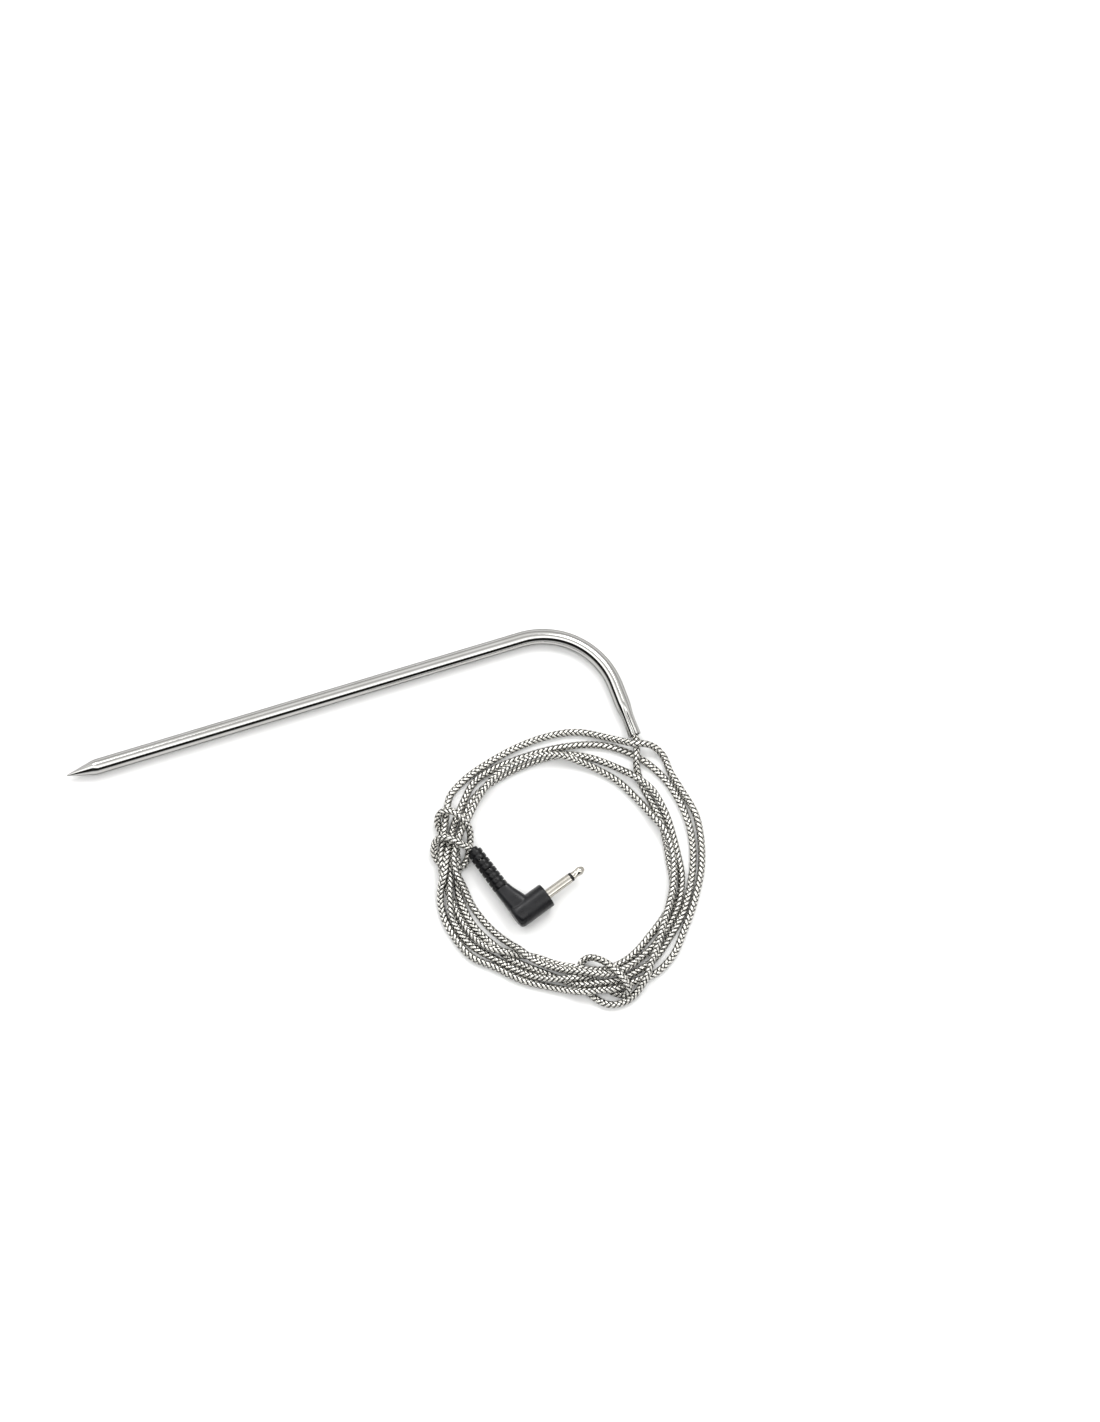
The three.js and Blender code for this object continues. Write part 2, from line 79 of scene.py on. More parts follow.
def add_camera():
    data = bpy.data.cameras.new("camera")
    data.lens = LENS
    data.sensor_width = SENSOR
    data.clip_end = 20
    distance = FRAME_HEIGHT * LENS / SENSOR
    towards = Vector((0, 0, 1)) * math.sin(VIEW_ELEVATION) - IMAGE_UP * math.cos(VIEW_ELEVATION)
    right = IMAGE_UP.cross(Vector((0, 0, 1))).normalized()
    up = towards.cross(right)
    camera = bpy.data.objects.new("camera", data)
    camera.matrix_world = Matrix.Translation(VIEW_TARGET + towards * distance) @ Matrix(
        (right, up, towards)).transposed().to_4x4()
    bpy.context.scene.collection.objects.link(camera)
    bpy.context.scene.camera = camera


# ---- The cable's route -------------------------------------------------------------------------
# Each stretch lists (angle, radius, height): degrees anticlockwise from +X about the coil's middle,
# then millimetres. The cable runs clockwise, from the crimp to the plug.

FLOOR = CABLE_RADIUS                           # height of a strand that lies on the ground

LEAD = [
    (41.9, 34.3, 2.3), (40.0, 32.5, 2.8), (37.5, 30.3, 2.3), (33, 28.4, 1.4),
]
FIRST_PASS = [
    (28, 27.2, FLOOR), (21, 26.5, FLOOR), (6, 25.9, FLOOR), (-8, 25.8, FLOOR), (-17, 26.2, FLOOR),
    (-28, 27.6, FLOOR), (-40, 28.9, FLOOR), (-60, 28.8, FLOOR), (-74, 29.8, 1.5), (-84, 30.3, 3.0),
    (-91, 30.2, 3.0), (-101, 29.2, 2.9), (-113, 27.7, 1.6), (-126, 26.8, 1.2), (-138, 28.6, 1.2),
    (-152, 31.2, FLOOR), (-168, 32.2, FLOOR), (173, 32.6, 1.6), (166, 32.7, 2.8), (158, 32.8, 2.9),
    (148, 33.2, 3.0),
]
SECOND_PASS = [
    (139, 34.4, 2.6), (134, 35.1, 1.8), (124, 34.3, 1.0), (112, 33.1, FLOOR), (98, 32.7, FLOOR),
    (84, 33.1, FLOOR), (70, 33.9, FLOOR), (56, 33.9, 1.4), (48, 34.2, 3.2), (44, 34.7, 4.0),
    (40, 36.2, 3.6), (36, 37.1, 2.4), (31, 36.8, 1.4), (25, 35.2, FLOOR), (17, 34.5, FLOOR),
    (2, 35.1, FLOOR), (-18, 34.5, FLOOR), (-34, 34.1, FLOOR), (-48, 34.9, FLOOR), (-59, 36.6, FLOOR),
    (-69, 37.1, FLOOR), (-77, 36.1, FLOOR), (-86, 35.6, 2.6), (-93, 34.6, 2.9), (-101, 33.8, 2.9),
    (-109, 33.2, 1.6), (-125, 32.8, FLOOR), (-140, 32.9, FLOOR), (-152, 35.2, FLOOR),
    (-165, 35.2, FLOOR), (-176, 34.9, 1.2), (176, 33.8, 2.6), (169, 32.1, 4.2), (162, 31.5, 4.4),
    (155, 31.0, 3.8), (146, 31.0, 3.0),
]
THIRD_PASS = [
    (134, 31.1, 2.2), (123, 31.9, 1.4), (113, 31.0, FLOOR), (98, 29.6, FLOOR), (78, 29.8, FLOOR),
    (60, 31.3, FLOOR), (46, 32.3, FLOOR), (33, 32.9, FLOOR), (18, 33.1, FLOOR), (0, 32.7, FLOOR),
    (-17, 32.3, FLOOR), (-38, 32.4, FLOOR), (-54, 32.8, FLOOR), (-67, 33.9, FLOOR), (-78, 33.8, 1.6),
    (-86, 33.7, 3.0), (-94, 32.4, 3.1), (-103, 31.6, 2.9), (-115, 30.8, 1.6), (-130, 29.8, FLOOR),
    (-146, 29.4, FLOOR), (-162, 30.0, FLOOR), (-178, 29.8, FLOOR), (172, 29.0, 2.2), (164, 28.9, 2.8),
    (156, 29.2, 2.9), (144, 29.2, 2.9),
]
FOURTH_PASS = [
    (132, 29.6, 2.4), (122, 29.2, 1.6), (108, 28.2, FLOOR), (93, 27.7, FLOOR), (77, 27.7, FLOOR),
    (62, 27.5, FLOOR), (46, 27.5, 1.2), (34, 27.9, 2.6), (24, 28.4, 2.2), (12, 28.0, 1.2),
    (-2, 27.7, FLOOR), (-13, 28.2, FLOOR), (-26, 29.7, FLOOR), (-42, 30.9, FLOOR), (-58, 31.2, FLOOR),
    (-70, 31.6, 1.4), (-80, 32.0, 3.4), (-88, 31.8, 4.4), (-95, 30.6, 4.4), (-104, 29.4, 3.0),
    (-118, 28.4, 2.4), (-132, 28.0, 2.4), (-143, 27.4, 1.6), (-158, 27.2, FLOOR), (-172, 27.7, 1.0),
    (178, 28.2, 2.4), (172, 29.0, 4.0), (166, 29.7, 4.5), (158, 29.7, 4.5), (150, 29.0, 4.2),
    (138, 28.3, 3.6),
]
FIFTH_PASS = [
    (128, 28.6, 3.2), (114, 28.9, 2.8), (102, 28.6, 2.7), (88, 28.4, 2.7), (76, 27.6, 2.6),
    (65, 26.1, 1.8), (54, 25.1, FLOOR), (42, 24.6, FLOOR), (27, 24.2, FLOOR), (14, 24.8, 1.6),
    (2, 26.2, 2.5), (-10, 26.8, 2.7), (-22, 27.3, 2.7), (-34, 28.0, 2.7), (-45, 28.9, 2.8),
]
HALF_HITCH = [
    (-53, 30.1, 3.0), (-60, 31.8, 3.0), (-67, 33.7, 3.0), (-74, 36.4, 2.9), (-80, 38.1, 1.9),
    (-87, 39.0, 1.1), (-92, 38.6, FLOOR), (-96.5, 36.6, FLOOR), (-99.5, 34.4, FLOOR),
    (-101.5, 32.2, FLOOR), (-102.7, 30.2, FLOOR), (-102.4, 28.2, 1.3), (-99.6, 26.5, 2.3),
    (-95.0, 26.1, 3.3), (-90.5, 27.3, 4.6), (-87, 29.2, 5.8), (-84.8, 31.2, 6.3), (-83.2, 33.3, 6.2),
    (-82.2, 35.6, 5.3), (-82.0, 37.5, 3.9), (-83.8, 38.5, 2.3), (-87.0, 37.6, 1.1), (-90.4, 35.4, FLOOR),
    (-94, 33.3, 1.6), (-98, 32.0, 2.9), (-103, 31.4, 3.4), (-109, 31.2, 2.8),
]
LAST_RUN = [
    (-118, 31.0, 1.8), (-130, 31.6, FLOOR), (-143, 32.0, FLOOR), (-156, 33.6, FLOOR),
    (-168, 33.8, 1.2), (-176, 32.6, 2.8), (176, 31.4, 3.2), (170, 30.8, 2.9), (163, 30.8, 2.9),
    (157, 31.5, 1.8),
]
WRAPS = [
    (153.4, 32.6, 1.0), (150.2, 34.0, 1.1), (147.4, 35.2, 2.2), (144.2, 35.6, 3.8),
    (141.6, 34.4, 5.4), (140.8, 32.2, 6.6), (142.0, 29.8, 6.8), (144.6, 27.6, 5.8),
    (149.0, 26.3, 4.4), (155.0, 25.9, 3.0), (161.0, 26.1, 1.9), (166.0, 27.2, 1.1),
    (168.0, 29.2, FLOOR), (167.0, 31.4, FLOOR), (164.4, 33.6, 1.1), (161.2, 34.8, 2.2),
    (157.4, 35.0, 3.8), (154.4, 34.2, 5.4), (153.4, 32.2, 6.6), (154.2, 29.8, 6.6),
    (155.8, 27.4, 5.2),
]
ROUTE_STEP = 1.0                               # spacing of the settled cable's points

SETTLE_ROUNDS = 320
SINKING_ROUNDS = 256                           # rounds in which the cable has weight
SINK = 0.006                                   # how far it sinks in such a round
STRAND_GAP = 0.04                              # what strands try to keep between them
SEARCH_MARGIN = 0.8                            # strands with less than this between them are watched
SEARCH_EVERY = 8                               # rounds from one search for near strands to the next
OWN_REACH = 3.4                                # points nearer than this along the cable don't push
PUSH = 0.42                                    # share of an overlap that each strand gives way
STIFFNESS = 0.3                                # how strongly neighbouring points move together
RECALL = 0.997                                 # share of its sideways shift that a point keeps
HELD_AT_PROBE = 10                             # points that the crimp holds
HELD_AT_PLUG = 20                              # points that the strain relief and plug hold


def on_coil(angle, radius, height):
    """Point at an angle in degrees and a radius about the coil's middle, and a height above the ground."""
    a = math.radians(angle)
    return COIL_CENTRE + Vector((radius * math.cos(a), radius * math.sin(a), height))


def plug_point(x, y, z=0.0):
    """A point of the plug's own frame: x along the pin, y towards the cable, z up."""
    turned = Matrix.Rotation(PLUG_TURN, 3, "Z") @ Vector((x, y, z))
    return turned + PLUG_FACE + Vector((0, 0, BARREL_RADIUS))


def probe_line(s):
    """Point and direction of the tube's axis at distance s from the tip."""
    if s <= LEG_LENGTH:
        point, direction = Vector((s, 0, TUBE_RADIUS)), Vector((1, 0, 0))
    else:
        a = min((s - LEG_LENGTH) / BEND_RADIUS, BEND_ANGLE)
        direction = Vector((math.cos(a), -math.sin(a), 0))
        point = Vector((
            LEG_LENGTH + BEND_RADIUS * math.sin(a), -BEND_RADIUS * (1 - math.cos(a)), TUBE_RADIUS))
        point += direction * max(s - BEND_END, 0)
    return point - ORIGIN, direction


def cable_knots():
    """Every knot of the cable, from inside the crimp to where its braid ends in the plug."""
    inside = [probe_line(PROBE_END + s)[0] for s in (-CRIMPED_CABLE, -3.0, 0.0, 1.6)]
    passes = LEAD + FIRST_PASS + SECOND_PASS + THIRD_PASS + FOURTH_PASS + FIFTH_PASS
    lying = [on_coil(*knot) for knot in passes + HALF_HITCH + LAST_RUN + WRAPS]
    mouth = BOOT_START + BOOT_LENGTH + COLLAR_LENGTH
    tail = [plug_point(BOOT_X, y) for y in (mouth - 0.5, mouth - 4, mouth - 8, STRIP_POINT)]
    return inside + lying + tail


SPLINE_STEPS = 24                              # points worked out between two knots


def spline(knots, step):
    """Evenly spaced points of the centripetal Catmull-Rom curve through the knots."""
    p = np.array(knots, float)
    p = np.vstack([2 * p[0] - p[1], p, 2 * p[-1] - p[-2]])
    lengths = np.linalg.norm(np.diff(p, axis=0), axis=1) ** 0.5
    t = np.concatenate([[0], np.cumsum(lengths)])
    fine = []
    for i in range(1, len(p) - 2):
        for u in np.linspace(t[i], t[i + 1], SPLINE_STEPS, endpoint=False):
            a1 = (t[i] - u) / (t[i] - t[i - 1]) * p[i - 1] + (u - t[i - 1]) / (t[i] - t[i - 1]) * p[i]
            a2 = (t[i + 1] - u) / (t[i + 1] - t[i]) * p[i] + (u - t[i]) / (t[i + 1] - t[i]) * p[i + 1]
            a3 = (t[i + 2] - u) / (t[i + 2] - t[i + 1]) * p[i + 1]
            a3 = a3 + (u - t[i + 1]) / (t[i + 2] - t[i + 1]) * p[i + 2]
            b1 = (t[i + 1] - u) / (t[i + 1] - t[i - 1]) * a1 + (u - t[i - 1]) / (t[i + 1] - t[i - 1]) * a2
            b2 = (t[i + 2] - u) / (t[i + 2] - t[i]) * a2 + (u - t[i]) / (t[i + 2] - t[i]) * a3
            fine.append((t[i + 1] - u) / (t[i + 1] - t[i]) * b1 + (u - t[i]) / (t[i + 1] - t[i]) * b2)
    fine.append(p[-2])
    return even(np.array(fine), step)


def even(points, step):
    """The same line with points an equal distance apart."""
    run = np.concatenate([[0], np.cumsum(np.linalg.norm(np.diff(points, axis=0), axis=1))])
    count = max(int(round(run[-1] / step)), 2)
    at = np.linspace(0, run[-1], count + 1)
    return np.column_stack([np.interp(at, run, points[:, k]) for k in range(3)])


def settle(start):
    """Lets the cable come to rest: strands push each other apart, sink and stay above the ground."""
    move = np.zeros_like(start)
    free = np.ones(len(start))
    free[:HELD_AT_PROBE] = 0
    free[-HELD_AT_PLUG:] = 0
    own_points = int(math.ceil(OWN_REACH / ROUTE_STEP))
    thick = 2 * CABLE_RADIUS + STRAND_GAP
    route = start
    for k in range(SETTLE_ROUNDS):
        if k % SEARCH_EVERY == 0:
            gaps = np.linalg.norm(route[:, None] - route[None], axis=2)
            i, j = np.nonzero(np.triu(gaps < thick + SEARCH_MARGIN, own_points))
        apart = route[i] - route[j]
        distance = np.maximum(np.linalg.norm(apart, axis=1), 1e-6)
        push = np.maximum(thick - distance, 0)[:, None] * apart / distance[:, None] * PUSH
        touching = (push != 0).any(axis=1)
        total = np.zeros_like(start)
        count = np.zeros(len(start))
        np.add.at(total, i, push)
        np.add.at(total, j, -push)
        np.add.at(count, i, touching)
        np.add.at(count, j, touching)
        move += total / np.maximum(count, 1)[:, None] ** 0.5 * free[:, None]
        smooth = 0.5 * (move[:-2] + move[2:]) - move[1:-1]
        move[1:-1] += STIFFNESS * smooth * free[1:-1, None]
        move[:, :2] *= RECALL
        if k < SINKING_ROUNDS:
            move[:, 2] -= SINK * free
        below = CABLE_RADIUS - (start + move)[:, 2]
        move[:, 2] += np.maximum(below, 0) * free
        route = start + move
    return route


# ---- Mesh building -----------------------------------------------------------------------------


def spin_frames(points):
    """Unit tangents of a line, and a normal that turns with it and never twists."""
    tangents = np.gradient(points, axis=0)
    tangents /= np.linalg.norm(tangents, axis=1)[:, None]
    normals = np.zeros_like(points)
    seed = np.array([0.0, 0.0, 1.0])
    for i, tangent in enumerate(tangents):
        seed = seed - tangent * seed.dot(tangent)
        seed /= np.linalg.norm(seed)
        normals[i] = seed
    return tangents, normals


def ring_faces(rings, sides, closed=False):
    """Quads that join rings of vertices numbered one after another."""
    count = rings if closed else rings - 1
    row = np.arange(count)[:, None] * sides + np.arange(sides)[None]
    across = np.arange(count)[:, None] * sides + (np.arange(sides) + 1)[None] % sides
    last = rings * sides
    faces = np.stack([row, across, (across + sides) % last, (row + sides) % last], axis=2)
    return faces.reshape(-1, 4).tolist()


def end_faces(rings, sides):
    """The two faces that close the first and the last ring."""
    last = (rings - 1) * sides
    return [list(range(sides)), [last + k for k in reversed(range(sides))]]


def new_piece(name, vertices, faces, material, smooth=True, uvs=None):
    """A mesh object made from vertices in millimetres."""
    mesh = bpy.data.meshes.new(name)
    mesh.from_pydata((np.array(vertices, float) * MM).tolist(), [], faces)
    if uvs is not None:
        layer = mesh.uv_layers.new(name="UVMap")
        layer.data.foreach_set("uv", np.array(uvs, np.float32).ravel())
    mesh.polygons.foreach_set("use_smooth", [smooth] * len(mesh.polygons))
    mesh.materials.append(material)
    mesh.update()
    piece = bpy.data.objects.new(name, mesh)
    bpy.context.scene.collection.objects.link(piece)
    return piece


def tube_uvs(rings, sides, along, caps):
    """Corner coordinates of ring_faces, as turns and distance along, then zeros for the caps' corners."""
    u0 = np.broadcast_to(np.arange(sides) / sides, (rings - 1, sides))
    u1 = u0 + 1 / sides
    v0 = np.broadcast_to(along[:-1, None], (rings - 1, sides))
    v1 = np.broadcast_to(along[1:, None], (rings - 1, sides))
    corners = np.stack([u0, v0, u1, v0, u1, v1, u0, v1], axis=2).reshape(-1, 2)
    return np.vstack([corners, np.zeros((caps, 2))])


TURNED_CREASE = math.radians(32)               # edges of turned pieces sharper than this stay crisp


def turned_piece(name, profile, sides, material, place):
    """Turned piece: profile lists (x, radius) along the outside, place maps its frame to the part's."""
    x = np.array([p[0] for p in profile], float)
    r = np.array([p[1] for p in profile], float)
    closed = tuple(profile[0]) == tuple(profile[-1])
    if closed:
        x, r = x[:-1], r[:-1]
    a = np.arange(sides) / sides * 2 * math.pi
    local = np.stack([
        np.broadcast_to(x[:, None], (len(x), sides)),
        r[:, None] * np.cos(a)[None],
        r[:, None] * np.sin(a)[None],
    ], axis=2).reshape(-1, 3)
    points = [place @ Vector(p) for p in local]
    piece = new_piece(name, points, ring_faces(len(x), sides, closed=closed), material)
    clean(piece, TURNED_CREASE)
    return piece


def clean(piece, sharp):
    """Merges doubled vertices, turns the faces outwards and marks edges sharper than the angle."""
    bm = bmesh.new()
    bm.from_mesh(piece.data)
    bmesh.ops.remove_doubles(bm, verts=bm.verts, dist=0.001 * MM)
    bmesh.ops.recalc_face_normals(bm, faces=bm.faces)
    for edge in bm.edges:
        if len(edge.link_faces) == 2 and edge.calc_face_angle() > sharp:
            edge.smooth = False
    bm.to_mesh(piece.data)
    bm.free()


def rounded(profile, radius, steps=4):
    """The profile with each of its inner corners turned into an arc of about that radius."""
    points = [Vector(profile[0])]
    for before, corner, after in zip(profile, profile[1:], profile[2:]):
        corner = Vector(corner)
        back = Vector(before) - corner
        ahead = Vector(after) - corner
        cut = min(radius, back.length * 0.45, ahead.length * 0.45)
        start = corner + back.normalized() * cut
        end = corner + ahead.normalized() * cut
        for k in range(steps + 1):
            t = k / steps
            points.append((1 - t) ** 2 * start + 2 * t * (1 - t) * corner + t * t * end)
    points.append(Vector(profile[-1]))
    return [tuple(p) for p in points]


def apply_modifiers(piece):
    graph = bpy.context.evaluated_depsgraph_get()
    mesh = bpy.data.meshes.new_from_object(piece.evaluated_get(graph))
    piece.modifiers.clear()
    piece.data = mesh


def carve(piece, cutter, operation="DIFFERENCE"):
    modifier = piece.modifiers.new("carve", "BOOLEAN")
    modifier.operation = operation
    modifier.solver = "EXACT"
    modifier.object = cutter
    apply_modifiers(piece)
    bpy.data.objects.remove(cutter)


# ---- Materials ---------------------------------------------------------------------------------


class Look:
    """A material's nodes, with short ways to add and join them."""

    def __init__(self, name, color, metallic, roughness):
        self.material = bpy.data.materials.new(name)
        self.material.use_nodes = True
        self.nodes = self.material.node_tree.nodes
        self.links = self.material.node_tree.links
        self.shader = self.nodes["Principled BSDF"]
        self.shader.inputs["Base Color"].default_value = (*color, 1)
        self.shader.inputs["Metallic"].default_value = metallic
        self.shader.inputs["Roughness"].default_value = roughness

    def put(self, target, value):
        if isinstance(value, bpy.types.NodeSocket):
            self.links.new(value, target)
        else:
            target.default_value = value

    def math(self, operation, a, b=0.0, c=0.0):
        node = self.nodes.new("ShaderNodeMath")
        node.operation = operation
        for target, value in zip(node.inputs, (a, b, c)):
            self.put(target, value)
        return node.outputs[0]

    def place(self, scale=(1, 1, 1), kind="Object"):
        where = self.nodes.new("ShaderNodeTexCoord")
        mapping = self.nodes.new("ShaderNodeMapping")
        mapping.inputs["Scale"].default_value = scale
        self.links.new(where.outputs[kind], mapping.inputs["Vector"])
        return mapping.outputs[0]

    def noise(self, vector, scale, detail=3.0, roughness=0.5):
        node = self.nodes.new("ShaderNodeTexNoise")
        node.inputs["Scale"].default_value = scale
        node.inputs["Detail"].default_value = detail
        node.inputs["Roughness"].default_value = roughness
        self.links.new(vector, node.inputs["Vector"])
        return node.outputs["Fac"]

    def ramp(self, value, low, high, out_low=0.0, out_high=1.0):
        node = self.nodes.new("ShaderNodeMapRange")
        node.interpolation_type = "SMOOTHSTEP"
        for target, number in zip(node.inputs, (value, low, high, out_low, out_high)):
            self.put(target, number)
        return node.outputs["Result"]

    def mix(self, factor, a, b):
        node = self.nodes.new("ShaderNodeMix")
        node.data_type = "RGBA"
        self.put(node.inputs["Factor"], factor)
        self.put(node.inputs[6], a if isinstance(a, bpy.types.NodeSocket) else (*a, 1))
        self.put(node.inputs[7], b if isinstance(b, bpy.types.NodeSocket) else (*b, 1))
        return node.outputs[2]

    def bump(self, height, distance, strength=1.0):
        node = self.nodes.new("ShaderNodeBump")
        node.inputs["Strength"].default_value = strength
        node.inputs["Distance"].default_value = distance
        self.links.new(height, node.inputs["Height"])
        self.links.new(node.outputs[0], self.shader.inputs["Normal"])

    def color(self, value):
        self.put(self.shader.inputs["Base Color"], value)

    def roughness(self, value):
        self.put(self.shader.inputs["Roughness"], value)


PER_MM = 1000.0                                # texture scale that gives one feature a millimetre
DARK_EDGES = (0.1, 0.1, 0.1, 1)                # tint that darkens plain metal at grazing angles


def polished_steel():
    """Drawn and polished stainless: fine lines along the tube and faint smears."""
    look = Look("polished_steel", (0.47, 0.465, 0.455), 1.0, 0.13)
    along = look.place((60, 0.25, 1), "UV")
    lines = look.noise(along, 6.0, 4.0, 0.6)
    smears = look.noise(look.place(), 0.12 * PER_MM, 3.0)
    gloss = look.ramp(smears, 0.35, 0.7, 0.05, 0.1)
    look.roughness(look.math("ADD", gloss, look.math("MULTIPLY", lines, 0.04)))
    look.color(look.mix(look.ramp(smears, 0.3, 0.75), (0.485, 0.48, 0.47), (0.44, 0.435, 0.42)))
    look.shader.inputs["Specular Tint"].default_value = DARK_EDGES
    look.bump(lines, 0.004 * MM, 0.5)
    return look.material


def tip_steel():
    """Turned stainless: fine rings round the point, a little brighter than the tube."""
    look = Look("tip_steel", (0.48, 0.475, 0.465), 1.0, 0.12)
    rings = look.noise(look.place((18 * PER_MM, 0.2 * PER_MM, 0.2 * PER_MM)), 1.0, 2.0)
    smears = look.noise(look.place(), 0.3 * PER_MM, 3.0)
    look.roughness(look.ramp(smears, 0.3, 0.7, 0.07, 0.14))
    look.color(look.mix(rings, (0.5, 0.495, 0.485), (0.44, 0.435, 0.425)))
    look.shader.inputs["Specular Tint"].default_value = DARK_EDGES
    look.bump(rings, 0.002 * MM, 0.5)
    return look.material


def braided_steel():
    """Braid of bright wire bundles, each over two and under two, with painted shade at their edges, where
    they dive and in the grooves between their wires.
    """
    look = Look("braided_steel", (0.6, 0.58, 0.54), 1.0, 0.3)
    where = look.nodes.new("ShaderNodeTexCoord")
    split = look.nodes.new("ShaderNodeSeparateXYZ")
    look.links.new(where.outputs["UV"], split.inputs[0])
    around = look.math("MULTIPLY", split.outputs[0], float(BRAID_CARRIERS))
    along = look.math("DIVIDE", split.outputs[1], BRAID_PITCH)
    a = look.math("SUBTRACT", around, along)
    b = look.math("ADD", around, along)
    i = look.math("ROUND", a)
    j = look.math("ROUND", b)
    # The crossings of a row come in fours: bundle a is on top in two, then bundle b in two.
    crossing = look.math("MODULO", look.math("ADD", look.math("ADD", i, j), 4.0), 4.0)
    b_on_top = look.math("GREATER_THAN", crossing, 1.5)
    a_on_top = look.math("SUBTRACT", 1.0, b_on_top)

    def of_top(of_a, of_b):
        a_share = look.math("MULTIPLY", of_a, a_on_top)
        return look.math("ADD", a_share, look.math("MULTIPLY", of_b, b_on_top))

    across = of_top(look.math("SUBTRACT", a, i), look.math("SUBTRACT", b, j))
    from_middle = of_top(
        look.math("SUBTRACT", look.math("ADD", b, i), 0.5),
        look.math("SUBTRACT", look.math("ADD", a, j), 2.5))
    from_middle = look.math("WRAP", from_middle, 2.0, -2.0)
    # Painted shade: the colour darkens across each bundle towards its edges and where it dives under the
    # other bundle, where shade falls between them.
    edge = look.ramp(look.math("ABSOLUTE", across), 0.22, 0.38)
    dive = look.ramp(look.math("ABSOLUTE", from_middle), 0.8, 1.0)
    # The wires' ripple is their bump and also painted shade in the grooves between them.
    wires = look.math("SINE", look.math("MULTIPLY", across, 2 * math.pi * WIRES_PER_BUNDLE))
    grime = look.noise(look.place(), 0.25 * PER_MM, 3.0)
    shade = look.math(
        "MULTIPLY",
        look.math("SUBTRACT", 1.0, look.math("MULTIPLY", edge, 0.97)),
        look.math("SUBTRACT", 1.0, look.math("MULTIPLY", dive, 0.85)))
    # Random grime darkens the colour further; then the grooves between the wires get painted shade.
    shade = look.math("MULTIPLY", shade, look.ramp(grime, 0.25, 0.75, 0.86, 1.0))
    shade = look.math("MULTIPLY", shade, look.ramp(wires, -1.0, 0.2, 0.65, 1.0))
    # Painted shade: the colour runs from near-black where the painted shade is deepest to the bright wire
    # colour on the crowns.
    look.color(look.mix(shade, (0.008, 0.007, 0.006), (1.0, 0.985, 0.93)))
    look.shader.inputs["Specular Tint"].default_value = (0.3, 0.3, 0.3, 1)
    look.roughness(look.ramp(shade, 0.1, 0.9, 0.45, 0.14))
    look.bump(look.math("ADD", shade, look.math("MULTIPLY", wires, 0.12)), 0.1 * MM, 0.7)
    return look.material


def nickel_plate():
    """Bright plate, slightly warm, with faint mottling and contact rub along the pin."""
    look = Look("nickel_plate", (0.56, 0.54, 0.5), 1.0, 0.12)
    rub = look.noise(look.place((0.15 * PER_MM, 3.0 * PER_MM, 3.0 * PER_MM)), 1.0, 3.0)
    cloud = look.noise(look.place(), 0.5 * PER_MM, 2.0)
    look.roughness(look.ramp(rub, 0.35, 0.75, 0.08, 0.2))
    look.color(look.mix(cloud, (0.58, 0.56, 0.515), (0.52, 0.49, 0.44)))
    look.shader.inputs["Specular Tint"].default_value = DARK_EDGES
    look.bump(rub, 0.003 * MM, 0.4)
    return look.material


def moulded_pvc(name, color, roughness, grain, sheen):
    """Soft black moulding: fine spark-eroded grain, slight sheen, paler scuffs and dust."""
    look = Look(name, color, 0.0, roughness)
    fine = look.noise(look.place(), grain * PER_MM, 3.0)
    broad = look.noise(look.place(), 0.35 * PER_MM, 4.0)
    worn = look.ramp(look.noise(look.place(), 1.6 * PER_MM, 5.0, 0.7), 0.62, 0.8)
    paler = tuple(c * 1.9 + 0.006 for c in color)
    shaded = look.mix(look.ramp(broad, 0.3, 0.7), color, tuple(c * 1.25 for c in color))
    look.color(look.mix(look.math("MULTIPLY", worn, 0.35), shaded, paler))
    look.roughness(look.ramp(broad, 0.3, 0.7, roughness - 0.06, roughness + 0.08))
    look.shader.inputs["Specular IOR Level"].default_value = sheen
    look.bump(look.math("ADD", fine, look.math("MULTIPLY", broad, 0.6)), 0.03 * MM, 0.55)
    return look.material


def inner_look(name, color, metallic, roughness, scale):
    """Plain inner material with mottling of its own scale, in millimetres."""
    look = Look(name, color, metallic, roughness)
    mottle = look.noise(look.place(), PER_MM / scale, 4.0, 0.6)
    darker = tuple(c * 0.8 for c in color)
    look.color(look.mix(look.ramp(mottle, 0.3, 0.7), color, darker))
    look.roughness(look.ramp(mottle, 0.3, 0.7, max(roughness - 0.08, 0.04), min(roughness + 0.1, 1.0)))
    look.bump(mottle, 0.01 * MM, 0.6)
    return look.material


def woven_sleeve():
    """Woven glass-fibre sleeving."""
    look = Look("glass_fibre", (0.72, 0.68, 0.56), 0.0, 0.85)
    weave = look.nodes.new("ShaderNodeTexWave")
    weave.wave_type = "BANDS"
    weave.bands_direction = "DIAGONAL"
    weave.inputs["Scale"].default_value = 1.4 * PER_MM
    weave.inputs["Distortion"].default_value = 1.2
    look.links.new(look.place(), weave.inputs["Vector"])
    look.color(look.mix(weave.outputs["Fac"], (0.76, 0.72, 0.6), (0.56, 0.52, 0.42)))
    look.bump(weave.outputs["Fac"], 0.03 * MM, 0.7)
    return look.material


# ---- The cable ---------------------------------------------------------------------------------

BRAID_PITCH = 1.3                              # distance between the strokes of one row
BRAID_CARRIERS = 4                             # bundles in each direction, over two and under two
BRAID_TWIST = 330.0                            # length in which the whole cable turns once
BRAID_SIDES = 20
BRAID_RINGS = 6                                # rings of vertices a pitch
BRAID_DEPTH = 0.24                             # from the top of a bundle to the gaps
BUNDLE_WIDTH = 0.45                            # half width of a bundle, in carriers' spacings
BUNDLE_CROWN = 0.75                            # share of the depth that is the bundles' roundness
WIRES_PER_BUNDLE = 5


